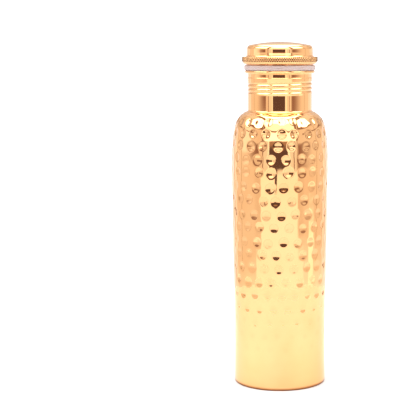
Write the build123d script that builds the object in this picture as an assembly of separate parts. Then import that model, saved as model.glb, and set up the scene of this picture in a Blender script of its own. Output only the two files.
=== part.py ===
from build123d import *
import math
import os

# A screw-top copper water bottle. Millimetres, +Z up. The origin is the centre
# of the base, on the plane the bottle stands on, and every piece is drawn in
# its closed, ready-to-stand position.

# Body shell: a tube that swells very slightly to the shoulder.
WALL = 0.7
FOOT_RADIUS = 35.3
FOOT_EDGE_ROUND = 0.5
STRAIGHT_FOOT_HEIGHT = 30.0
BELLY_STATIONS = [(35.55, 63.0), (36.4, 103.0), (36.85, 142.0)]
SHOULDER_START = (37.0, 172.0)
SHOULDER_STATIONS = [(36.6, 184.6), (35.85, 192.3), (34.35, 200.0), (33.0, 203.8), (30.8, 206.95)]
NECK_SEAM_RADIUS = 28.3
NECK_SEAM_TOP = 209.0

# Base plate: a pressed disc with a down-turned flange inside the foot.
PLATE_THICKNESS = 0.8
PLATE_HEIGHT = 4.4
PANEL_RADIUS = 23.0
PANEL_STEP = 1.2

# Neck collar, with its thread rolled inwards and a beaded lip.
NECK_RADIUS = 24.45
NECK_WALL = 0.8
NECK_FOOT_HEIGHT = 210.6
NECK_FOOT_ROUND = 1.6
LIP_RADIUS = 26.7
LIP_BOTTOM = 239.4
LIP_TOP = 241.7
LIP_ROUND = 1.1

# Right-hand screw thread shared by the neck and the lid.
THREAD_PITCH = 3.1
THREAD_TURNS = 3.0
THREAD_START = 224.2
THREAD_START_ANGLE = 90
NECK_GROOVE_RADIUS = 1.0
NECK_GROOVE_DEPTH = 0.9
NECK_RIDGE_RADIUS = 1.2
SLEEVE_GROOVE_RADIUS = 1.45
SLEEVE_GROOVE_DEPTH = 0.9
BALL_END_SHARE = 0.98
THREAD_END = THREAD_START + THREAD_TURNS * THREAD_PITCH

# Lid: threaded sleeve, grip ring, cap and the disc that closes the sleeve.
SLEEVE_RADIUS = 23.35
SLEEVE_BORE = 21.7
SLEEVE_BOTTOM = 225.0
SLEEVE_FLANGE_RADIUS = 25.6
SLEEVE_FLANGE_BOTTOM = 245.75
LID_SEAT = 246.5
GRIP_TOP = 251.6
GRIP_RADIUS = 28.3
GRIP_LOWER_ROUND = 1.8
GRIP_UPPER_ROUND = 0.6
CAP_TOP = 263.3
CAP_RADIUS = 25.2
CAP_WALL = 0.8
CAP_CORNER_RADIUS = 3.8
CAP_DOME_ANGLE = 12.0
CAP_FLARE_RADIUS = 2.1
BRIM_RADIUS = 27.4
BRIM_TOP = 251.5
SPIGOT_TOP = 255.5
END_DISC_HEIGHT = 3.5

# Silicone seal between the lip and the lid.
SEAL_BOTTOM = 241.75
SEAL_TOP = 245.7
SEAL_RADIUS = 27.2
SEAL_BORE = 23.45
SEAL_ROUND = 1.4


def turned(*edges):
    """Solid of revolution about +Z from a closed run of profile edges drawn as (radius, height)."""
    return revolve(Plane.XZ * make_face(edges), Axis.Z)


def turned_polygon(corners):
    """Solid of revolution from (radius, height, rounding) corners."""
    points = [(radius, height) for radius, height, _ in corners]
    rounds = [rounding for _, _, rounding in corners]
    return turned(FilletPolyline(*points, radius=rounds, close=True))


def inner_curve(curve, distance, stations=30):
    """Spline that runs beside an upward profile curve, on the axis side."""
    points = []
    for i in range(stations + 1):
        tangent = curve % (i / stations)
        points.append(curve @ (i / stations) + Vector(-tangent.Y, tangent.X) * distance)
    return Spline(*points)


def helix_turn(height):
    """Rotation about +Z that brings the thread's helix to a height."""
    return Rot(0, 0, THREAD_START_ANGLE + 360 * (height - THREAD_START) / THREAD_PITCH)


def helix_bead(centre_radius, section, start, end):
    """A section swept along the thread's helix between two heights."""
    path = Helix(pitch=THREAD_PITCH, height=end - start, radius=centre_radius)
    profile = Plane(origin=path @ 0, x_dir=(1, 0, 0), z_dir=path % 0) * section
    return helix_turn(start) * Pos(0, 0, start) * sweep(profile, path=path, is_frenet=True)


def helix_ball(centre_radius, ball_radius, height):
    """A ball on the thread's helix at a height, for a rounded groove end."""
    return helix_turn(height) * Pos(centre_radius, 0, height) * Sphere(ball_radius)


def body_shell():
    """Hammered vessel: foot, belly and shoulder, open at the foot and at the neck seam."""
    foot_inner = FOOT_RADIUS - WALL
    side = Line((FOOT_RADIUS, FOOT_EDGE_ROUND), (FOOT_RADIUS, STRAIGHT_FOOT_HEIGHT))
    belly = Spline(
        (FOOT_RADIUS, STRAIGHT_FOOT_HEIGHT),
        *BELLY_STATIONS,
        SHOULDER_START,
        tangents=[(0, 1), (0, 1)],
    )
    crown = (NECK_SEAM_RADIUS - 1.5, NECK_SEAM_TOP + 1.0)
    shoulder = Spline(SHOULDER_START, *SHOULDER_STATIONS, (NECK_SEAM_RADIUS, NECK_SEAM_TOP), crown,
                      tangents=[(0, 1), (-1, 0.5)])
    inner_shoulder = inner_curve(shoulder, WALL)
    inner_belly = inner_curve(belly, WALL)
    edge = RadiusArc((FOOT_RADIUS, FOOT_EDGE_ROUND), (FOOT_RADIUS - FOOT_EDGE_ROUND, 0), FOOT_EDGE_ROUND)
    vessel = turned(
        edge,
        side,
        belly,
        shoulder,
        Line(shoulder @ 1, inner_shoulder @ 1),
        inner_shoulder,
        inner_belly,
        Line(inner_belly @ 0, (foot_inner, 0)),
        Line((foot_inner, 0), (FOOT_RADIUS - FOOT_EDGE_ROUND, 0)),
    )
    opening = Pos(0, 0, NECK_SEAM_TOP) * Cylinder(NECK_SEAM_RADIUS, 20)
    return vessel - opening


def base_plate():
    """Pressed base with a stepped centre panel and a flange that shares the foot's rim."""
    outer = FOOT_RADIUS - WALL
    inner = outer - PLATE_THICKNESS
    top = PLATE_HEIGHT + PLATE_THICKNESS
    return turned_polygon([
        (0, PLATE_HEIGHT + PANEL_STEP, 0),
        (PANEL_RADIUS, PLATE_HEIGHT + PANEL_STEP, 1.5),
        (PANEL_RADIUS + 2, PLATE_HEIGHT, 1.5),
        (inner, PLATE_HEIGHT, 1.0),
        (inner, 0, 0),
        (outer, 0, 0),
        (outer, top, 1.8),
        (PANEL_RADIUS + 2, top, 1.5),
        (PANEL_RADIUS, top + PANEL_STEP, 1.5),
        (0, top + PANEL_STEP, 0),
    ])


def neck_collar():
    """Neck tube with its foot flange, rolled lip and rolled-in thread."""
    bore = NECK_RADIUS - NECK_WALL
    tube = turned_polygon([
        (NECK_SEAM_RADIUS, NECK_SEAM_TOP - 0.9, 0),
        (NECK_SEAM_RADIUS, NECK_SEAM_TOP, 0),
        (NECK_RADIUS + 2.1, NECK_FOOT_HEIGHT - 0.4, 2.5),
        (NECK_RADIUS, NECK_FOOT_HEIGHT, NECK_FOOT_ROUND),
        (NECK_RADIUS, LIP_BOTTOM, 0.5),
        (LIP_RADIUS, LIP_BOTTOM, LIP_ROUND),
        (LIP_RADIUS, LIP_TOP, LIP_ROUND),
        (bore, LIP_TOP, 0.8),
        (bore, NECK_FOOT_HEIGHT - NECK_WALL, NECK_FOOT_ROUND + 0.4),
        (NECK_RADIUS + 1.9, NECK_FOOT_HEIGHT - NECK_WALL - 0.4, 2.0),
    ])
    groove_centre = NECK_RADIUS - NECK_GROOVE_DEPTH + NECK_GROOVE_RADIUS
    ridge_centre = NECK_RADIUS - NECK_GROOVE_DEPTH - NECK_WALL + NECK_RIDGE_RADIUS
    ridge_flat = ridge_centre - (bore + NECK_WALL / 2)
    # Only the part of the round ridge that stands in from the middle of the wall is wound.
    ridge_section = Circle(NECK_RIDGE_RADIUS) - Pos(NECK_RIDGE_RADIUS - ridge_flat, 0) * Rectangle(
        2 * NECK_RIDGE_RADIUS, 4 * NECK_RIDGE_RADIUS
    )
    ridge = helix_bead(ridge_centre, ridge_section, THREAD_START, THREAD_END)
    groove = helix_bead(groove_centre, Circle(NECK_GROOVE_RADIUS), THREAD_START, THREAD_END)
    collar = tube + ridge - groove
    for height in (THREAD_START, THREAD_END):
        collar -= helix_ball(groove_centre, BALL_END_SHARE * NECK_GROOVE_RADIUS, height)
    return collar


def seal_ring():
    """Silicone ring that the lid squeezes on to the lip."""
    return turned_polygon([
        (SEAL_BORE, SEAL_BOTTOM, 0.3),
        (SEAL_RADIUS, SEAL_BOTTOM, SEAL_ROUND),
        (SEAL_RADIUS, SEAL_TOP, SEAL_ROUND),
        (SEAL_BORE, SEAL_TOP, 0.3),
    ])


def threaded_sleeve():
    """Lid's male thread, with the top flange that backs the seal."""
    sleeve = turned_polygon([
        (SLEEVE_BORE, SLEEVE_BOTTOM, 0),
        (SLEEVE_RADIUS, SLEEVE_BOTTOM, 0.4),
        (SLEEVE_RADIUS, SLEEVE_FLANGE_BOTTOM, 0),
        (SLEEVE_FLANGE_RADIUS, SLEEVE_FLANGE_BOTTOM, 0.25),
        (SLEEVE_FLANGE_RADIUS, LID_SEAT, 0),
        (SLEEVE_BORE, LID_SEAT, 0),
    ])
    centre = SLEEVE_RADIUS - SLEEVE_GROOVE_DEPTH + SLEEVE_GROOVE_RADIUS
    start = SLEEVE_BOTTOM - THREAD_PITCH
    end = THREAD_END + 0.1 * THREAD_PITCH
    sleeve -= helix_bead(centre, Circle(SLEEVE_GROOVE_RADIUS), start, end)
    sleeve -= helix_ball(centre, BALL_END_SHARE * SLEEVE_GROOVE_RADIUS, end)
    return sleeve


def sleeve_end_disc():
    """Shallow cup pressed up into the bottom of the sleeve."""
    top = SLEEVE_BOTTOM + END_DISC_HEIGHT
    return turned_polygon([
        (0, SLEEVE_BOTTOM + 0.6, 0),
        (SLEEVE_BORE - 2.0, SLEEVE_BOTTOM + 0.6, 2.0),
        (SLEEVE_BORE - 0.8, SLEEVE_BOTTOM, 0.8),
        (SLEEVE_BORE, SLEEVE_BOTTOM, 0.4),
        (SLEEVE_BORE, top, 0),
        (SLEEVE_BORE - 0.8, top, 0),
        (SLEEVE_BORE - 0.8, SLEEVE_BOTTOM + 1.4, 0.6),
        (0, SLEEVE_BOTTOM + 1.4, 0),
    ])


def grip_ring():
    """Turned ring that is gripped to unscrew the lid, with a spigot up inside the cap."""
    spigot = CAP_RADIUS - CAP_WALL
    return turned_polygon([
        (spigot - 0.8, LID_SEAT, 0),
        (GRIP_RADIUS, LID_SEAT, GRIP_LOWER_ROUND),
        (GRIP_RADIUS, GRIP_TOP, GRIP_UPPER_ROUND),
        (BRIM_RADIUS, GRIP_TOP, 0),
        (BRIM_RADIUS, BRIM_TOP - CAP_WALL, 0),
        (spigot, BRIM_TOP - CAP_WALL, 0),
        (spigot, SPIGOT_TOP, 0),
        (spigot - 0.8, SPIGOT_TOP, 0),
    ])


def cap_surface(inset):
    """Run of the cap's surface from the axis to the brim, set in from the outer face."""
    across = CAP_RADIUS - CAP_CORNER_RADIUS
    dome_radius = across / math.sin(math.radians(CAP_DOME_ANGLE)) + CAP_CORNER_RADIUS
    dome = JernArc((0, CAP_TOP - inset), (1, 0), dome_radius - inset, -CAP_DOME_ANGLE)
    corner = JernArc(dome @ 1, dome % 1, CAP_CORNER_RADIUS - inset, CAP_DOME_ANGLE - 90)
    side = Line(corner @ 1, (CAP_RADIUS - inset, BRIM_TOP + CAP_FLARE_RADIUS))
    flare = JernArc(side @ 1, (0, -1), CAP_FLARE_RADIUS + inset, 90)
    brim = Line(flare @ 1, (BRIM_RADIUS, BRIM_TOP - inset))
    return [dome, corner, side, flare, brim]


def cap_shell():
    """Low domed cap, drawn like a hat whose brim sits in the grip ring."""
    outer = cap_surface(0)
    inner = cap_surface(CAP_WALL)
    return turned(
        *outer,
        Line(outer[-1] @ 1, inner[-1] @ 1),
        *inner,
        Line(inner[0] @ 0, outer[0] @ 0),
    )


pieces = {
    "body_shell": body_shell(),
    "base_plate": base_plate(),
    "neck_collar": neck_collar(),
    "seal_ring": seal_ring(),
    "threaded_sleeve": threaded_sleeve(),
    "sleeve_end_disc": sleeve_end_disc(),
    "grip_ring": grip_ring(),
    "cap_shell": cap_shell(),
}

os.makedirs("parts", exist_ok=True)
for name, piece in pieces.items():
    export_step(piece, f"parts/{name}.step")
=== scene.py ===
import math
import random

import bmesh
import bpy
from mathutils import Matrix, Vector, noise


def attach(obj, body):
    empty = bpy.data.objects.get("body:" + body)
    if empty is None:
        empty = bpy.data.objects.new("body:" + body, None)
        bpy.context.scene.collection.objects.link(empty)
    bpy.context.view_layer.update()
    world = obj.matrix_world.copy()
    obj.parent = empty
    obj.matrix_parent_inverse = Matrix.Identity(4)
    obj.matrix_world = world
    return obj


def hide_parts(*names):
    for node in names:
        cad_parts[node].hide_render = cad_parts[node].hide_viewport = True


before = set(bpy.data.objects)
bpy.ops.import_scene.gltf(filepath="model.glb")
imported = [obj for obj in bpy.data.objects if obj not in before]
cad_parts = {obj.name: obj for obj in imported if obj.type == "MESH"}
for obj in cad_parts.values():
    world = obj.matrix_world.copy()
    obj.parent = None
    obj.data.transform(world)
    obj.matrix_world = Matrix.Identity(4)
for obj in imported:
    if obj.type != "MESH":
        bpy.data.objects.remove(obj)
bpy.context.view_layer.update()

MM = 0.001
TAU = 2 * math.pi

# --------------------------------------------------------------------------
# Sizes in millimetres, the same as the CAD model's, but the foot is straight a little further up.
# --------------------------------------------------------------------------
WALL = 0.7
FOOT_RADIUS, FOOT_EDGE = 35.3, 0.5
BODY_PROFILE = [
    (35.3, 40.0), (35.55, 63.0), (36.4, 103.0), (36.85, 142.0), (37.0, 172.0), (36.6, 184.6),
    (35.85, 192.3), (34.35, 200.0), (33.0, 203.8), (30.8, 206.95), (28.3, 209.0),
]
NECK_SEAM_RADIUS, NECK_SEAM_TOP = 28.3, 209.0
NECK_RADIUS, NECK_WALL = 24.45, 0.8
NECK_FOOT_HEIGHT = 210.6
LIP_RADIUS, LIP_BOTTOM, LIP_TOP, LIP_ROUND = 26.7, 239.4, 241.7, 1.1
THREAD_PITCH, THREAD_TURNS = 3.1, 3.0
THREAD_START, THREAD_ANGLE = 224.2, 0.25 * TAU
THREAD_DEPTH = 0.9
PLATE_RADIUS, PLATE_BORE = 34.6, 33.8
PLATE_LOW, PLATE_HIGH, PLATE_THICKNESS = 4.4, 5.6, 0.8
SLEEVE_RADIUS, SLEEVE_BORE, SLEEVE_BOTTOM = 23.35, 21.7, 225.0
SLEEVE_THREAD_TOP = 236.2
SLEEVE_FLANGE_RADIUS, SLEEVE_FLANGE_BOTTOM = 25.6, 245.75
DISC_BORE, DISC_RIM_TOP = 20.9, 228.5
DISC_LOW, DISC_HIGH = 225.6, 226.4
LID_SEAT = 246.5
GRIP_TOP, GRIP_RADIUS, GRIP_LOWER_ROUND = 251.6, 28.3, 1.8
CAP_TOP, CAP_RADIUS, CAP_WALL = 263.3, 25.2, 0.8
CAP_DOME_ANGLE, CAP_FLARE = math.radians(12.0), 2.1
BRIM_RADIUS, BRIM_TOP = 27.4, 251.5
SPIGOT_TOP = 255.5
SEAL_BOTTOM, SEAL_TOP, SEAL_RADIUS, SEAL_BORE = 241.75, 245.7, 27.2, 23.45

# --------------------------------------------------------------------------
# Sizes that differ from the CAD model's. The thicker wall leaves room for the dents.
# --------------------------------------------------------------------------
DENTED_WALL = 1.05
THREAD_HALF_WIDTH = 1.4
DISC_RADIUS = 21.65
GRIP_UPPER_ROUND = 0.45
SEAL_ROUND = 1.2
CAP_CORNER, CAP_EASE = 3.5, 0.2


# --------------------------------------------------------------------------
# Profiles
# --------------------------------------------------------------------------
def smooth(x):
    """A soft step from 0 to 1 as x goes from 0 to 1."""
    x = min(1.0, max(0.0, x))
    return x * x * (3 - 2 * x)


def rounded(corners, closed=True, turn_step=9.0, reach=3.0, hold=0.1):
    """(r, z) points along a profile of (r, z, rounding) corners, with each corner an arc.

    Straight runs are cut every reach or so, and close to each end, at hold.
    """
    n = len(corners)
    runs = []
    for i, (r, z, size) in enumerate(corners):
        here = Vector((r, z))
        before, after = corners[i - 1], corners[(i + 1) % n]
        if size == 0 or (not closed and i in (0, n - 1)):
            runs.append([here])
            continue
        inward = (here - Vector(before[:2])).normalized()
        onward = (Vector(after[:2]) - here).normalized()
        turn = inward.angle_signed(onward)
        cut = size * math.tan(abs(turn) / 2)
        steps = max(2, math.ceil(math.degrees(abs(turn)) / turn_step))
        side = -1 if turn > 0 else 1
        start = here - inward * cut
        centre = start + Vector((-inward.y, inward.x)) * size * side
        arm = start - centre
        arc = []
        for k in range(steps + 1):
            a = -turn * k / steps
            arc.append(centre + Vector((arm.x * math.cos(a) - arm.y * math.sin(a),
                                        arm.x * math.sin(a) + arm.y * math.cos(a))))
        runs.append(arc)
    points = []
    for i, run in enumerate(runs):
        points += run
        if not closed and i == n - 1:
            break
        a, b = run[-1], runs[(i + 1) % n][0]
        length = (b - a).length
        if length < 3 * hold:
            continue
        cuts = [hold]
        inner = length - 2 * hold
        count = max(1, round(inner / reach))
        cuts += [hold + inner * k / count for k in range(1, count)]
        cuts.append(length - hold)
        points += [a.lerp(b, c / length) for c in cuts]
    return [(p.x, p.y) for p in points]


def spline(points, start_way, end_way, per_span=24):
    """Cubic curve through (r, z) points, leaving and arriving in the given directions."""
    pts = [Vector(p) for p in points]
    ways = []
    for i, p in enumerate(pts):
        if i == 0:
            ways.append(Vector(start_way).normalized())
        elif i == len(pts) - 1:
            ways.append(Vector(end_way).normalized())
        else:
            a, b = (p - pts[i - 1]), (pts[i + 1] - p)
            ways.append((a.normalized() * b.length + b.normalized() * a.length).normalized())
    out = []
    for i in range(len(pts) - 1):
        a, b = pts[i], pts[i + 1]
        span = (b - a).length
        for k in range(per_span):
            t = k / per_span
            h = (2 * t**3 - 3 * t**2 + 1, t**3 - 2 * t**2 + t, -2 * t**3 + 3 * t**2, t**3 - t**2)
            out.append(a * h[0] + ways[i] * span * h[1] + b * h[2] + ways[i + 1] * span * h[3])
    out.append(pts[-1])
    return [(p.x, p.y) for p in out]


def lengths(points):
    """The length along a run of points, up to each of them."""
    out = [0.0]
    for a, b in zip(points, points[1:]):
        out.append(out[-1] + math.dist(a, b))
    return out


def even(points, step):
    """The same run of points, resampled at an even spacing."""
    length = lengths(points)
    count = max(1, round(length[-1] / step))
    out, i = [], 0
    for k in range(count + 1):
        want = length[-1] * k / count
        while i < len(points) - 2 and length[i + 1] < want:
            i += 1
        t = (want - length[i]) / max(1e-9, length[i + 1] - length[i])
        a, b = points[i], points[i + 1]
        out.append((a[0] + (b[0] - a[0]) * t, a[1] + (b[1] - a[1]) * t))
    return out


def normals(points, closed):
    """Unit normals of a profile, to the right of its direction."""
    out = []
    n = len(points)
    for i in range(n):
        a = points[i - 1] if (closed or i > 0) else points[i]
        b = points[(i + 1) % n] if (closed or i < n - 1) else points[i]
        way = Vector((b[0] - a[0], b[1] - a[1])).normalized()
        out.append((way.y, -way.x))
    return out


# --------------------------------------------------------------------------
# Meshes of revolution
# --------------------------------------------------------------------------
def lathe(name, body, nodes, points, segments, closed=True, push=None, shade=None):
    """A closed surface of revolution round the Z axis, in place of the named CAD nodes.

    push(ring, angle) moves a vertex out along the profile's normal, and shade(ring, angle, out) gives the
    painted shade there, how much darker the metal's colour is made, from 0 to 1.
    """
    ways = normals(points, closed)
    verts, rings, painted_shade = [], [], []
    for j, (r, z) in enumerate(points):
        if r < 1e-6:
            rings.append([len(verts)])
            verts.append((0.0, 0.0, z * MM))
            painted_shade.append(0.0)
            continue
        ring = []
        for k in range(segments):
            angle = TAU * k / segments
            out = push(j, angle) if push else 0.0
            rr, zz = r + ways[j][0] * out, z + ways[j][1] * out
            ring.append(len(verts))
            verts.append((rr * math.cos(angle) * MM, rr * math.sin(angle) * MM, zz * MM))
            painted_shade.append(shade(j, angle, out) if shade else 0.0)
        rings.append(ring)
    faces = []
    pairs = list(zip(rings, rings[1:])) + ([(rings[-1], rings[0])] if closed else [])
    for low, high in pairs:
        for k in range(segments):
            nxt = (k + 1) % segments
            if len(low) == 1:
                faces.append((low[0], high[nxt], high[k]))
            elif len(high) == 1:
                faces.append((low[k], low[nxt], high[0]))
            else:
                faces.append((low[k], low[nxt], high[nxt], high[k]))
    mesh = bpy.data.meshes.new(name)
    mesh.from_pydata(verts, [], faces)
    bm = bmesh.new()
    bm.from_mesh(mesh)
    bmesh.ops.recalc_face_normals(bm, faces=bm.faces)
    bm.to_mesh(mesh)
    bm.free()
    mesh.polygons.foreach_set("use_smooth", [True] * len(mesh.polygons))
    # Painted shade: the shade values are kept as a point attribute that darkens the material's colour.
    layer = mesh.attributes.new("painted_shade", "FLOAT", "POINT")
    layer.data.foreach_set("value", painted_shade)
    mesh.update()
    obj = bpy.data.objects.new(name, mesh)
    bpy.context.scene.collection.objects.link(obj)
    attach(obj, body)
    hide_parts(*nodes)
    return obj


# --------------------------------------------------------------------------
# Materials
# --------------------------------------------------------------------------
class Nodes:
    """A short way to write a material's or a world's node tree."""

    def __init__(self, tree):
        self.tree = tree
        tree.nodes.clear()

    def add(self, kind, **settings):
        node = self.tree.nodes.new(kind)
        for key, value in settings.items():
            setattr(node, key, value)
        return node

    def link(self, source, target):
        self.tree.links.new(source, target)

    def feed(self, socket, value):
        if isinstance(value, bpy.types.NodeSocket):
            self.link(value, socket)
        else:
            socket.default_value = value

    def maths(self, operation, *values):
        node = self.add("ShaderNodeMath", operation=operation)
        for socket, value in zip(node.inputs, values):
            self.feed(socket, value)
        return node.outputs[0]

    def ramp(self, value, low, high, out_low=0.0, out_high=1.0, kind="SMOOTHSTEP"):
        node = self.add("ShaderNodeMapRange", interpolation_type=kind)
        for socket, v in zip(node.inputs, (value, low, high, out_low, out_high)):
            self.feed(socket, v)
        return node.outputs[0]

    def mix(self, factor, a, b):
        node = self.add("ShaderNodeMix", data_type="RGBA")
        self.feed(node.inputs[0], factor)
        self.feed(node.inputs[6], a)
        self.feed(node.inputs[7], b)
        return node.outputs[2]

    def noise(self, vector, scale, detail=3.0, rough=0.55, stretch=(1, 1, 1)):
        place = self.add("ShaderNodeMapping")
        place.inputs["Scale"].default_value = stretch
        self.link(vector, place.inputs["Vector"])
        node = self.add("ShaderNodeTexNoise")
        self.link(place.outputs[0], node.inputs["Vector"])
        node.inputs["Scale"].default_value = scale
        node.inputs["Detail"].default_value = detail
        node.inputs["Roughness"].default_value = rough
        return node.outputs["Fac"]


def copper(name, colour, warm, rough, grain, grain_stretch, grain_height, painted_shade):
    """Polished copper: slight colour and gloss variation, fine polish marks, and painted shade in the
    hollows.

    grain is the scale of the polish marks and grain_height their height in metres. The last argument is how
    much darker the painted shade makes the metal where the mesh's painted shade value is 1.
    """
    mat = bpy.data.materials.new(name)
    mat.use_nodes = True
    n = Nodes(mat.node_tree)
    out = n.add("ShaderNodeOutputMaterial")
    shader = n.add("ShaderNodeBsdfPrincipled")
    n.link(shader.outputs[0], out.inputs[0])
    place = n.add("ShaderNodeTexCoord").outputs["Object"]
    cloud = n.noise(place, 22.0, 3.0)
    tint = n.mix(n.ramp(cloud, 0.35, 0.7), (*colour, 1), (*warm, 1))
    # Painted shade: the colour is mixed towards a darker, redder copper where the mesh's painted shade value
    # is high.
    depth = n.add("ShaderNodeAttribute", attribute_name="painted_shade").outputs["Fac"]
    dark = tuple(c * (1 - painted_shade) ** (1 + 0.6 * i) for i, c in enumerate(colour))
    tint = n.mix(depth, tint, (*dark, 1))
    n.link(tint, shader.inputs["Base Color"])
    marks = n.noise(place, grain, 4.0, 0.6, grain_stretch)
    smears = n.noise(place, 60.0, 2.0)
    gloss = n.maths("ADD", n.ramp(marks, 0.3, 0.75, rough * 0.75, rough * 1.25, "LINEAR"),
                    n.ramp(smears, 0.45, 0.8, 0.0, rough * 0.5))
    n.link(gloss, shader.inputs["Roughness"])
    bump = n.add("ShaderNodeBump")
    bump.inputs["Strength"].default_value = 0.5
    bump.inputs["Distance"].default_value = grain_height
    n.link(marks, bump.inputs["Height"])
    n.link(bump.outputs[0], shader.inputs["Normal"])
    shader.inputs["Metallic"].default_value = 1.0
    return mat


SILICONE_LOW = (0.45, 0.345, 0.315, 1)
SILICONE_HIGH = (0.49, 0.39, 0.365, 1)


def silicone(name):
    """Pale, slightly cloudy silicone with a soft sheen."""
    mat = bpy.data.materials.new(name)
    mat.use_nodes = True
    n = Nodes(mat.node_tree)
    out = n.add("ShaderNodeOutputMaterial")
    shader = n.add("ShaderNodeBsdfPrincipled")
    n.link(shader.outputs[0], out.inputs[0])
    place = n.add("ShaderNodeTexCoord").outputs["Object"]
    cloud = n.noise(place, 90.0, 3.0)
    n.link(n.mix(n.ramp(cloud, 0.3, 0.7), SILICONE_LOW, SILICONE_HIGH),
           shader.inputs["Base Color"])
    n.link(n.ramp(cloud, 0.3, 0.7, 0.30, 0.42), shader.inputs["Roughness"])
    fine = n.noise(place, 900.0, 2.0)
    bump = n.add("ShaderNodeBump")
    bump.inputs["Strength"].default_value = 0.3
    bump.inputs["Distance"].default_value = 0.00004
    n.link(fine, bump.inputs["Height"])
    n.link(bump.outputs[0], shader.inputs["Normal"])
    shader.inputs["Subsurface Weight"].default_value = 0.25
    shader.inputs["Subsurface Radius"].default_value = (1.0, 0.7, 0.6)
    shader.inputs["Subsurface Scale"].default_value = 0.0012
    shader.inputs["IOR"].default_value = 1.42
    return mat


COPPER = (1.0, 0.58, 0.27)
COPPER_WARM = (0.97, 0.53, 0.23)
INNER_COPPER = (0.95, 0.52, 0.27)
INNER_COPPER_WARM = (0.86, 0.44, 0.22)
# The last number of each copper is how strong its painted shade is.
body_copper = copper("hammered_copper", COPPER, COPPER_WARM, 0.045, 500.0, (1, 1, 0.25), 0.000006, 0.85)
bright_copper = copper("polished_copper", COPPER, COPPER_WARM, 0.04, 350.0, (0.3, 0.3, 6), 0.000004, 0.5)
knurled_copper = copper("knurled_copper", COPPER, COPPER_WARM, 0.28, 700.0, (1, 1, 1), 0.000006, 0.98)
plain_copper = copper("plain_copper", INNER_COPPER, INNER_COPPER_WARM, 0.16, 260.0, (1, 1, 4), 0.00001, 0.4)
pale_silicone = silicone("pale_silicone")


def finish_with(obj, material):
    obj.data.materials.append(material)


# --------------------------------------------------------------------------
# Hammered body
# --------------------------------------------------------------------------
PLAIN_TOP, DENTED_LOW = 26.0, 38.0
PLAIN_STEP, DENTED_STEP, INSIDE_STEP = 2.6, 0.83, 8.5
SEAM_THICKNESS = 0.9

foot_edge = [
    (FOOT_RADIUS - FOOT_EDGE + FOOT_EDGE * math.cos(a), FOOT_EDGE - FOOT_EDGE * math.sin(a))
    for a in [math.radians(90 - 11.25 * k) for k in range(8)]
]
foot_edge += [(FOOT_RADIUS, FOOT_EDGE), (FOOT_RADIUS, FOOT_EDGE + 0.1)]
plain_run = even([(FOOT_RADIUS, FOOT_EDGE + 2.0), (FOOT_RADIUS, PLAIN_TOP)], PLAIN_STEP)
outer = spline(BODY_PROFILE, (0, 1), (-1, 0.62))
dented_run = even([(FOOT_RADIUS, PLAIN_TOP)] + outer, DENTED_STEP)
outside = foot_edge + plain_run[:-1] + dented_run
inner = [
    (r - across * DENTED_WALL, z - up * DENTED_WALL)
    for (r, z), (across, up) in zip(outer, normals(outer, False))
]
inner = [(r, z) for r, z in inner if r > NECK_SEAM_RADIUS]
inner.append((NECK_SEAM_RADIUS, NECK_SEAM_TOP - SEAM_THICKNESS))
inside = even([(FOOT_RADIUS - WALL, 0.0), (FOOT_RADIUS - WALL, DENTED_LOW)] + inner, INSIDE_STEP)
body_points = outside + inside[::-1]

BODY_SEGMENTS = 360
SHOULDER_ROWS = [204.4 - 9.2 * k for k in range(4)]
BODY_ROWS = [166.2 - 10.35 * k for k in range(14)]
SHOULDER_TURNS = (0.15, 0.05, -0.15, 0.45)
BODY_TURNS = (0.5, 0.3, -0.2, 0.1, -0.35, 0.25, -0.3, 0.0, 0.45, 0.1, -0.4, 0.2, -0.1, 0.4)
DENT_SPACING, TOP_DENT_SPACING = 10.9, 8.8
DENT_SEED = 19
DENT_RIM_SHADE = 0.42
SKIN_INSET = 0.11


def hammer_dents():
    """Depth of the hammer dents, and the painted shade on their rims, at every vertex of the outside, ring by
    ring.
    """
    rng = random.Random(DENT_SEED)
    along = lengths(outside)
    depths = [[0.0] * BODY_SEGMENTS for _ in outside]
    rims = [[0.0] * BODY_SEGMENTS for _ in outside]
    for height, turn in zip(SHOULDER_ROWS + BODY_ROWS, SHOULDER_TURNS + BODY_TURNS):
        middle = min(range(len(outside)), key=lambda j: abs(outside[j][1] - height))
        radius = outside[middle][0]
        count = round(TAU * radius / (TOP_DENT_SPACING if height == SHOULDER_ROWS[0] else DENT_SPACING))
        # The dents are wide and deep at the shoulder, with the most painted shade on their rims there, and
        # fade out towards the foot.
        strength = smooth((height - 22) / 120)
        row_size = (3.2 + 0.7 * strength) * math.sqrt(1 - 0.25 * smooth((height - 190) / 14))
        row_depth = 0.12 + 0.18 * strength + 0.2 * smooth((height - 125) / 45)
        row_depth *= 1 + 0.25 * smooth((height - 180) / 15)
        # Painted shade on the rims, standing in for the dark reflections round each dent, strongest at the
        # shoulder.
        rim_shade_weight = strength**2 * (0.4 + 0.6 * smooth((height - 165) / 25))
        for k in range(count):
            centre = TAU * ((k + turn + rng.uniform(-0.1, 0.1)) / count - 0.25)
            at = along[middle] + rng.uniform(-0.8, 0.8)
            size = row_size * rng.uniform(0.9, 1.07)
            depth = row_depth * rng.uniform(0.8, 1.2)
            reach = math.ceil(size / radius / TAU * BODY_SEGMENTS) + 1
            first = round(centre / TAU * BODY_SEGMENTS)
            for j, here in enumerate(along):
                if abs(here - at) >= size:
                    continue
                for i in range(first - reach, first + reach + 1):
                    across = (TAU * i / BODY_SEGMENTS - centre) * radius
                    u2 = (across**2 + (here - at) ** 2) / size**2
                    if u2 < 1.0:
                        spot = i % BODY_SEGMENTS
                        rim = smooth((u2 - 0.5) / 0.2) * (1 - smooth((u2 - 0.8) / 0.2))
                        depths[j][spot] = max(depths[j][spot], depth * (1 - u2) ** 1.35)
                        rims[j][spot] = max(rims[j][spot], rim * rim_shade_weight)
    return depths, rims


dents, dent_rims = hammer_dents()


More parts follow.
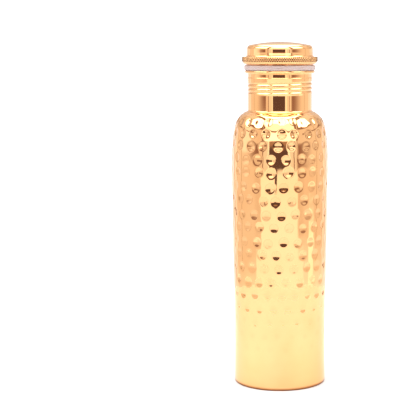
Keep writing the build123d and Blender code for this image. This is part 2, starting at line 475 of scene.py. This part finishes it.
def around(points, j, angle):
    """The place of a vertex of a surface of revolution, in millimetres."""
    r, z = points[j]
    return Vector((r * math.cos(angle), r * math.sin(angle), z))


def body_spot(angle):
    """The number of the body's vertex at an angle, in any of its rings."""
    return round(angle / TAU * BODY_SEGMENTS) % BODY_SEGMENTS


def hammered(j, angle):
    """How far the hammered skin stands in from the smooth one, negative inwards."""
    if j >= len(outside):
        return 0.0
    z = outside[j][1]
    place = around(outside, j, angle)
    worked = smooth((z - 24) / 30) * (1 - smooth((z - 206) / 3))
    wave = 0.04 * noise.noise(place * 0.07) + 0.014 * noise.noise(place * 0.2)
    edge = 1 - smooth((z - 206.5) / 2.0)
    return -dents[j][body_spot(angle)] * edge - (SKIN_INSET + wave) * worked


def dent_shade(j, angle, out):
    """A painted contact shadow along the foot's edge, darker all over the inside, and a little painted shade
    in the dents by their depth and on their rims.
    """
    if j >= len(outside):
        return 0.3
    # Painted contact shadow: the foot's rounded edge is made dark.
    if outside[j][1] < 0.9:
        return 0.9
    # Painted shade deeper in the dents, and on their rims in place of the dark reflections round them.
    return min(1.0, max(0.0, -out * 0.3) + DENT_RIM_SHADE * dent_rims[j][body_spot(angle)])


body = lathe("body_shell_hammered", "bottle", ["body_shell"], body_points, BODY_SEGMENTS,
             push=hammered, shade=dent_shade)
finish_with(body, body_copper)

# --------------------------------------------------------------------------
# Base plate
# --------------------------------------------------------------------------
PANEL_RADIUS, STEP_RADIUS = 23.0, 25.0
plate = rounded([
    (0, PLATE_HIGH, 0), (PANEL_RADIUS, PLATE_HIGH, 1.5), (STEP_RADIUS, PLATE_LOW, 1.5),
    (PLATE_BORE, PLATE_LOW, 1.0), (PLATE_BORE, 0.25, 0), (PLATE_BORE + 0.15, 0.05, 0),
    (PLATE_RADIUS - 0.15, 0.0, 0), (PLATE_RADIUS, 0.15, 0), (PLATE_RADIUS, PLATE_LOW + PLATE_THICKNESS, 1.8),
    (STEP_RADIUS, PLATE_LOW + PLATE_THICKNESS, 1.5), (PANEL_RADIUS, PLATE_HIGH + PLATE_THICKNESS, 1.5),
    (0, PLATE_HIGH + PLATE_THICKNESS, 0),
], closed=False)
base = lathe("base_plate_pressed", "bottle", ["base_plate"], plate, 160, closed=False)
finish_with(base, plain_copper)


# --------------------------------------------------------------------------
# Neck with its rolled thread
# --------------------------------------------------------------------------
def thread(angle, z, half_width, fade=0.35, start=0.0, end=THREAD_TURNS):
    """1 at the middle of the thread's groove, 0 on the plain wall. fade, start and end are in turns."""
    turn = ((angle - THREAD_ANGLE) / TAU) % 1.0
    lap = round((z - THREAD_START) / THREAD_PITCH - turn)
    best = 0.0
    for k in (lap - 1, lap, lap + 1):
        t = turn + k
        if not start <= t <= end:
            continue
        off = abs(z - (THREAD_START + THREAD_PITCH * t))
        if off >= half_width:
            continue
        ends = smooth((t - start) / fade) * smooth((end - t) / fade)
        best = max(best, math.cos(0.5 * math.pi * off / half_width) ** 2 * ends)
    return best


BORE = NECK_RADIUS - NECK_WALL
THREADED_LOW, THREADED_HIGH = 222.4, 238.6
NECK_STEP, BORE_STEP = 0.14, 0.3
BAND_LOW, BAND_HIGH, BAND_RISE = 223.0, 235.9, 0.12
BAND_FLARE_LOW, BAND_FLARE = 232.8, 0.2
GROOVE_DEPTH, GROOVE_HALF_WIDTH = 0.42, 1.3


def threaded_rings(step):
    """The heights of the fine rings between the two ends of the threaded part."""
    return [step * k for k in range(1, round((THREADED_HIGH - THREADED_LOW) / step))]


neck_outer = rounded([
    (NECK_SEAM_RADIUS, NECK_SEAM_TOP - SEAM_THICKNESS, 0), (NECK_SEAM_RADIUS, NECK_SEAM_TOP - 0.1, 0),
    (NECK_SEAM_RADIUS - 0.1, NECK_SEAM_TOP, 0), (NECK_RADIUS + 2.1, NECK_FOOT_HEIGHT - 0.4, 2.5),
    (NECK_RADIUS, NECK_FOOT_HEIGHT, 1.6), (NECK_RADIUS, THREADED_LOW, 0),
], closed=False, turn_step=6.0)
neck_thread = [(NECK_RADIUS, THREADED_LOW + up) for up in threaded_rings(NECK_STEP)]
neck_lip = rounded([
    (NECK_RADIUS, THREADED_HIGH, 0), (NECK_RADIUS, LIP_BOTTOM, 0.5), (LIP_RADIUS, LIP_BOTTOM, LIP_ROUND),
    (LIP_RADIUS, LIP_TOP, LIP_ROUND), (BORE, LIP_TOP, 0.8), (BORE, THREADED_HIGH, 0),
], closed=False, turn_step=7.0)
bore_thread = [(BORE, THREADED_HIGH - down) for down in threaded_rings(BORE_STEP)]
neck_inner = rounded([
    (BORE, THREADED_LOW, 0), (BORE, NECK_FOOT_HEIGHT - NECK_WALL, 2.0),
    (NECK_RADIUS + 1.9, NECK_FOOT_HEIGHT - NECK_WALL - 0.4, 2.0),
    (NECK_SEAM_RADIUS - 0.05, NECK_SEAM_TOP - 0.92, 0),
], closed=False, turn_step=12.0)
neck_points = neck_outer + neck_thread + neck_lip + bore_thread + neck_inner
first_thread = len(neck_outer)
last_thread = first_thread + len(neck_thread)
first_bore = last_thread + len(neck_lip)
last_bore = first_bore + len(bore_thread)


def neck_push(j, angle):
    """A soft raised band with the grooves in it outside, and the rolled thread's ridge inside."""
    z = neck_points[j][1]
    if first_thread <= j < last_thread:
        flare = min(1.0, max(0.0, (z - BAND_FLARE_LOW) / (BAND_HIGH - BAND_FLARE_LOW)))
        band = BAND_RISE * smooth((z - BAND_LOW) / 1.6) + BAND_FLARE * flare
        band *= smooth((BAND_HIGH + 0.6 - z) / 0.6)
        return band - (GROOVE_DEPTH + BAND_RISE) * thread(angle, z, GROOVE_HALF_WIDTH)
    if first_bore <= j < last_bore:
        return THREAD_DEPTH * thread(angle, z, THREAD_HALF_WIDTH)
    return 0.0


def neck_shade(j, angle, out):
    """Painted shade in the grooves, by their depth, and darker all over the inside."""
    if j < first_bore:
        return min(1.0, -out / GROOVE_DEPTH) * 0.3 if out < 0 else 0.0
    return 0.35


neck = lathe("neck_collar_threaded", "bottle", ["neck_collar"], neck_points, 256,
             push=neck_push, shade=neck_shade)
finish_with(neck, bright_copper)

# --------------------------------------------------------------------------
# Silicone seal
# --------------------------------------------------------------------------
seal_middle = (SEAL_BOTTOM + SEAL_TOP) / 2
SEAL_NICK = 0.12
seal_points = rounded([
    (SEAL_BORE, SEAL_BOTTOM, 0.3), (SEAL_RADIUS, SEAL_BOTTOM, SEAL_ROUND),
    (SEAL_RADIUS, seal_middle - SEAL_NICK, 0.08), (SEAL_RADIUS - SEAL_NICK, seal_middle, 0.05),
    (SEAL_RADIUS, seal_middle + SEAL_NICK, 0.08), (SEAL_RADIUS, SEAL_TOP, SEAL_ROUND),
    (SEAL_BORE, SEAL_TOP, 0.3),
], reach=0.8, hold=0.05)


def seal_push(j, angle):
    """The small unevenness of a soft ring, on all of it but the bore."""
    if seal_points[j][0] <= SEAL_BORE + 1:
        return 0.0
    return -0.03 - 0.05 * noise.noise(around(seal_points, j, angle) * 0.12)


seal = lathe("seal_ring_silicone", "seal", ["seal_ring"], seal_points, 200, push=seal_push)
finish_with(seal, pale_silicone)

# --------------------------------------------------------------------------
# Lid: threaded sleeve, its end disc, the knurled grip and the cap
# --------------------------------------------------------------------------
SLEEVE_LEAD, SLEEVE_STEP = 0.4, 0.2
sleeve_rings = round((SLEEVE_THREAD_TOP - SLEEVE_BOTTOM - SLEEVE_LEAD) / SLEEVE_STEP)
sleeve_thread = [(SLEEVE_RADIUS, SLEEVE_BOTTOM + SLEEVE_LEAD + SLEEVE_STEP * k) for k in range(sleeve_rings)]
sleeve_rest = rounded([
    (SLEEVE_RADIUS, SLEEVE_THREAD_TOP, 0), (SLEEVE_RADIUS, SLEEVE_FLANGE_BOTTOM, 0.3),
    (SLEEVE_FLANGE_RADIUS, SLEEVE_FLANGE_BOTTOM, 0.2), (SLEEVE_FLANGE_RADIUS, LID_SEAT, 0.1),
    (SLEEVE_BORE, LID_SEAT, 0.1), (SLEEVE_BORE, SLEEVE_BOTTOM, 0.2), (SLEEVE_RADIUS - 0.3, SLEEVE_BOTTOM, 0),
], closed=False, reach=4.0)
sleeve_points = sleeve_thread + sleeve_rest


def sleeve_push(j, angle):
    """The groove that the neck's ridge runs in."""
    if j >= len(sleeve_thread):
        return 0.0
    z = sleeve_points[j][1]
    return -THREAD_DEPTH * thread(angle, z, THREAD_HALF_WIDTH, fade=0.12, start=-1.0, end=THREAD_TURNS + 0.1)


sleeve = lathe("lid_sleeve_threaded", "lid", ["threaded_sleeve"], sleeve_points, 220, push=sleeve_push)
finish_with(sleeve, plain_copper)

disc_points = rounded([
    (0, DISC_LOW, 0), (DISC_BORE - 1.2, DISC_LOW, 2.0), (DISC_BORE, SLEEVE_BOTTOM, 0.8),
    (DISC_RADIUS, SLEEVE_BOTTOM, 0.4), (DISC_RADIUS, DISC_RIM_TOP, 0),
    (DISC_BORE, DISC_RIM_TOP, 0), (DISC_BORE, DISC_HIGH, 0.6), (0, DISC_HIGH, 0),
], closed=False)
disc = lathe("lid_end_disc", "lid", ["sleeve_end_disc"], disc_points, 140, closed=False)
finish_with(disc, plain_copper)

KNURLS = 104
KNURL_RISE, KNURL_CROSSING = 2.6, 248.85
KNURL_BOTTOM, KNURL_DEPTH = 248.3, 0.5
GRIP_STEP, GRIP_FOOT_INSET = 0.13, 0.1
SPIGOT_RADIUS, SPIGOT_WALL = CAP_RADIUS - CAP_WALL, 0.8
BRIM_BOTTOM = BRIM_TOP - CAP_WALL
GRIP_FOOT_RADIUS = GRIP_RADIUS - GRIP_FOOT_INSET
grip_face = [
    (GRIP_RADIUS - GRIP_UPPER_ROUND * (1 - math.sin(a)), GRIP_TOP - GRIP_UPPER_ROUND * (1 - math.cos(a)))
    for a in [math.radians(15 * k) for k in range(6)]
]
grip_side = [(GRIP_RADIUS, GRIP_TOP - GRIP_UPPER_ROUND - GRIP_STEP * k) for k in range(22)]
grip_foot = [
    (GRIP_FOOT_RADIUS - GRIP_LOWER_ROUND * (1 - math.cos(a)), LID_SEAT + GRIP_LOWER_ROUND * (1 - math.sin(a)))
    for a in [math.radians(9 * k) for k in range(11)]
]
grip_rest = rounded([
    (GRIP_FOOT_RADIUS - GRIP_LOWER_ROUND - 0.05, LID_SEAT, 0),
    (SPIGOT_RADIUS - SPIGOT_WALL, LID_SEAT, 0.1), (SPIGOT_RADIUS - SPIGOT_WALL, SPIGOT_TOP, 0.1),
    (SPIGOT_RADIUS, SPIGOT_TOP, 0.1), (SPIGOT_RADIUS, BRIM_BOTTOM, 0), (BRIM_RADIUS, BRIM_BOTTOM, 0),
    (BRIM_RADIUS, GRIP_TOP - 0.03, 0),
], closed=False, reach=2.0)
knurl_points = grip_face + grip_side
grip_points = knurl_points + grip_foot + grip_rest


def knurl_grooves(j, angle):
    """How deep the two families of slanting V grooves are here, from 0 to 1 each."""
    if j >= len(knurl_points):
        return 0.0, 0.0
    z = knurl_points[j][1]
    fade = smooth((z - KNURL_BOTTOM + 0.1) / 0.3) * smooth((GRIP_TOP + 0.12 - z) / 0.2)
    turns = angle / TAU * KNURLS
    rise = (z - KNURL_CROSSING) / KNURL_RISE
    ridges = [abs(way % 1.0 - 0.5) * 2 for way in (turns + rise, turns - rise)]
    return tuple(fade * smooth((ridge - 0.15) / 0.85) for ridge in ridges)


def knurl(j, angle):
    """The crossed grooves, cut inwards."""
    return -KNURL_DEPTH * max(knurl_grooves(j, angle))


def knurl_shade(j, angle, out):
    """Painted shade: dark in the grooves, and darkest where two of them cross."""
    first, second = knurl_grooves(j, angle)
    return min(1.0, 0.6 * max(first, second) + 1.3 * min(first, second))


grip = lathe("grip_ring_knurled", "lid", ["grip_ring"], grip_points, 1040, push=knurl, shade=knurl_shade)
finish_with(grip, knurled_copper)


CAP_DOME_STEPS, CAP_CORNER_STEPS, CAP_SIDE_STEPS, CAP_FLARE_STEPS = 24, 14, 14, 12


def cap_run(inset):
    """The cap's surface from the axis to the brim, set in from the outer face."""
    across = CAP_RADIUS - CAP_CORNER
    dome = across / math.sin(CAP_DOME_ANGLE) + CAP_CORNER
    drop = dome * (1 - math.cos(CAP_DOME_ANGLE)) + CAP_CORNER * math.cos(CAP_DOME_ANGLE)
    side_top, side_low = CAP_TOP - drop, BRIM_TOP + CAP_FLARE
    pts = [(0.0, CAP_TOP - inset)]
    for k in range(1, CAP_DOME_STEPS):
        a = CAP_DOME_ANGLE * k / CAP_DOME_STEPS
        pts.append(((dome - inset) * math.sin(a), CAP_TOP - dome + (dome - inset) * math.cos(a)))
    size = CAP_CORNER - inset
    for k in range(CAP_CORNER_STEPS + 1):
        a = CAP_DOME_ANGLE + (0.5 * math.pi - CAP_DOME_ANGLE) * k / CAP_CORNER_STEPS
        pts.append((across + size * math.sin(a), side_top + size * math.cos(a)))
    for k in range(1, CAP_SIDE_STEPS):
        t = k / CAP_SIDE_STEPS
        pts.append((CAP_RADIUS - inset + CAP_EASE * t**3, side_top + (side_low - side_top) * t))
    size = CAP_FLARE + inset
    for k in range(CAP_FLARE_STEPS + 1):
        a = 0.5 * math.pi * k / CAP_FLARE_STEPS
        ease = CAP_EASE * (1 - math.sin(a))
        pts.append((CAP_RADIUS + CAP_FLARE - size * math.cos(a) + ease, side_low - size * math.sin(a)))
    return pts


brim_edge = [
    (BRIM_RADIUS - 0.15, BRIM_TOP), (BRIM_RADIUS - 0.04, BRIM_TOP - 0.04), (BRIM_RADIUS, BRIM_TOP - 0.15),
]
cap_outer = cap_run(0) + brim_edge
cap_inner = [(BRIM_RADIUS, BRIM_BOTTOM)] + cap_run(CAP_WALL)[::-1]
cap = lathe("cap_shell_domed", "lid", ["cap_shell"], cap_outer + cap_inner, 256, closed=False)
finish_with(cap, bright_copper)

# --------------------------------------------------------------------------
# Floor
# --------------------------------------------------------------------------
FLOOR_RADIUS = 0.36
FLOOR_GREY = 0.565
bpy.ops.mesh.primitive_circle_add(vertices=128, radius=FLOOR_RADIUS, fill_type="NGON", location=(0, 0, 0))
floor = bpy.context.object
floor.name = "floor"
floor_mat = bpy.data.materials.new("pale_floor")
floor_mat.use_nodes = True
floor_shader = floor_mat.node_tree.nodes["Principled BSDF"]
floor_shader.inputs["Base Color"].default_value = (FLOOR_GREY, FLOOR_GREY, FLOOR_GREY, 1)
floor_shader.inputs["Roughness"].default_value = 0.9
floor_shader.inputs["Specular IOR Level"].default_value = 0.1
floor.data.materials.append(floor_mat)

# --------------------------------------------------------------------------
# Studio: a white tent with softboxes, a gap at the front and a few edges
# --------------------------------------------------------------------------
world = bpy.data.worlds.new("studio")
bpy.context.scene.world = world
world.use_nodes = True
sky = Nodes(world.node_tree)
DEGREES = 180 / math.pi
way = sky.add("ShaderNodeSeparateXYZ")
sky.link(sky.add("ShaderNodeTexCoord").outputs["Generated"], way.inputs[0])
right, up = way.outputs[0], way.outputs[2]
front = sky.maths("MULTIPLY", way.outputs[1], -1.0)
azimuth = sky.maths("MULTIPLY", sky.maths("ARCTAN2", right, front), DEGREES)
side = sky.maths("ABSOLUTE", azimuth)
height = sky.maths("MULTIPLY", sky.maths("ARCSINE", up), DEGREES)
above = sky.maths("MAXIMUM", up, 0.05)
sideways = sky.maths("DIVIDE", right, above)
forwards = sky.maths("DIVIDE", front, above)


def blend(light, level, masks):
    """Blend a level of light in where every mask is 1."""
    mask = masks[0]
    for other in masks[1:]:
        mask = sky.maths("MULTIPLY", mask, other)
    return sky.mix(mask, light, level)


def from_edge(value, edge, soft):
    return sky.ramp(value, edge - soft, edge + soft)


def to_edge(value, edge, soft):
    return sky.ramp(value, edge - soft, edge + soft, 1.0, 0.0)


def panel(light, level, sides, heights, soft=1.0, across=side, soft_low=None, soft_high=None):
    """Blend a level of light into a box of the tent: sides, heights and fades are in degrees.

    The sides count from the front, the same both ways, or with across=azimuth to the right, with the left
    negative. soft_low and soft_high widen the fade at the low and the high end of the sides.
    """
    masks = []
    if sides[0] > (0 if across is side else -180):
        masks.append(from_edge(across, sides[0], soft_low or soft))
    if sides[1] < 180:
        masks.append(to_edge(across, sides[1], soft_high or soft))
    if heights[0] > -90:
        masks.append(from_edge(height, heights[0], soft))
    if heights[1] < 90:
        masks.append(to_edge(height, heights[1], soft))
    return blend(light, level, masks)


def ceiling(light, level, half_width, behind, ahead, soft=0.03):
    """Blend a level of light into a panel overhead, in units of its height above the bottle."""
    return blend(light, level, [
        from_edge(height, 10, 2), to_edge(sky.maths("ABSOLUTE", sideways), half_width, soft),
        from_edge(forwards, -behind, soft), to_edge(forwards, ahead, soft),
    ])


def grey(value):
    return (value, value, value, 1)


def warm(value):
    """Light that has come off warm walls: more so where there is less of it."""
    return (value, value * (0.72 + 0.2 * min(1.2, value)), value * (0.42 + 0.44 * min(1.3, value)), 1)


BROWN = (0.36, 0.22, 0.19, 1)
OPENING = (0.14, 0.09, 0.09, 1)
OPENING_GLOW = (0.5, 0.32, 0.24, 1)

# Walls of the tent, with the seams between them
light = sky.mix(sky.ramp(height, 8, 60), warm(1.02), grey(1.15))
light = panel(light, warm(1.3), (122, 180), (-90, 4), 8)
light = panel(light, warm(0.88), (126, 180), (6, 32), 2)
light = panel(light, warm(1.06), (59, 120), (-90, 20), 3)
light = panel(light, warm(1.45), (-104, -74), (-1.5, 22), 1.5, azimuth)
light = panel(light, warm(0.7), (-106, -104), (-12, 30), 0.8, azimuth)
light = panel(light, warm(0.7), (98, 100), (-12, 30), 0.8, azimuth)
light = panel(light, warm(0.6), (122, 123.5), (-12, 30), 0.6)
light = panel(light, warm(0.5), (138, 140.5), (-12, 40), 0.6)
light = panel(light, BROWN, (58, 180), (11.5, 13), 0.5)

# Table round the bottle, brightest at the front, and the front wall above it
light = panel(light, warm(1.25), (-180, -41), (-90, -12.5), 1.5, azimuth)
light = panel(light, warm(1.38), (41, 180), (-90, -11.5), 2, azimuth)
light = panel(light, grey(1.5), (0, 46), (-90, -5.3), 1.2)
light = panel(light, grey(1.53), (0, 60), (-90, -11.6), 1.2)
light = panel(light, grey(1.7), (74, 90), (-15, -9), 1, azimuth)
light = panel(light, grey(1.08), (0, 43), (-5.3, 14), 1)

# Shaded columns and narrow edges at both sides of the front wall
light = panel(light, BROWN, (-74, -51), (-3.7, 4), 0.9, azimuth, soft_low=20)
light = panel(light, BROWN, (43.5, 68), (-4.2, 4.3), 1, azimuth, soft_high=22)
light = panel(light, warm(0.95), (-62, -48), (-10, -6), 1.5, azimuth, soft_low=8)
light = panel(light, warm(0.95), (43.5, 56), (-10, -6), 1.5, azimuth, soft_high=8)
light = panel(light, grey(1.5), (-28.5, -25), (-5.3, 14), 0.5, azimuth)
light = panel(light, grey(1.5), (19, 24.5), (-5.3, 14), 0.5, azimuth)
light = panel(light, BROWN, (-42.6, -40.2), (-5.3, 14), 0.5, azimuth)
light = panel(light, BROWN, (33, 35), (-5.3, 14), 0.5, azimuth)
light = panel(light, warm(0.7), (40.5, 43), (-5.3, 14), 0.8, azimuth)

# Softboxes: over the front wall, overhead and high at both sides, each in its dark frame
light = panel(light, BROWN, (0, 44), (8, 76), 0.6)
light = panel(light, grey(2.3), (0, 38.5), (8, 17), 0.8)
light = panel(light, grey(1.9), (0, 38.5), (20.5, 50), 0.8)
light = panel(light, grey(4.6), (0, 38.5), (44, 74), 3)
light = ceiling(light, BROWN, 0.53, 1.7, 0.3)
light = ceiling(light, grey(4.6), 0.43, 1.55, 0.24)
light = panel(light, BROWN, (-109, -45), (21.5, 61), 0.8, azimuth)
light = panel(light, grey(5.0), (-104, -50), (26, 57), 0.8, azimuth)
light = panel(light, BROWN, (47, 101), (21.5, 61), 0.8, azimuth)
light = panel(light, grey(5.0), (52, 96), (26, 57), 0.8, azimuth)

# Opening that the camera looks through, and a smaller one behind
light = panel(light, OPENING, (-25, 19), (-5.3, 8), 0.7, azimuth)
light = panel(light, OPENING, (-12, -6.5), (-8.2, -5), 0.5, azimuth)
light = panel(light, OPENING_GLOW, (-25, 19), (4, 8), 1.5, azimuth)
light = panel(light, OPENING, (166, 180), (-5.3, 1), 1)

# The backdrop is plain white, whatever the tent has there.
background = sky.add("ShaderNodeBackground")
sky.link(light, background.inputs["Color"])
backdrop = sky.add("ShaderNodeBackground")
backdrop.inputs["Color"].default_value = (1.5, 1.5, 1.5, 1)
path = sky.add("ShaderNodeLightPath")
choose = sky.add("ShaderNodeMixShader")
sky.link(path.outputs["Is Camera Ray"], choose.inputs[0])
sky.link(background.outputs[0], choose.inputs[1])
sky.link(backdrop.outputs[0], choose.inputs[2])
sky.link(choose.outputs[0], sky.add("ShaderNodeOutputWorld").inputs[0])

# --------------------------------------------------------------------------
# Camera
# --------------------------------------------------------------------------
camera_data = bpy.data.cameras.new("camera")
camera = bpy.data.objects.new("camera", camera_data)
bpy.context.scene.collection.objects.link(camera)
LOOK_DOWN = 7.78
camera.location = (0, -0.952, 0.2658)
camera.rotation_euler = (math.radians(90 - LOOK_DOWN), 0, 0)
camera_data.sensor_width = 36
camera_data.lens = 107.5
camera_data.shift_x = -0.1727
camera_data.clip_start = 0.01
bpy.context.scene.camera = camera
bpy.context.scene.view_settings.view_transform = "Standard"
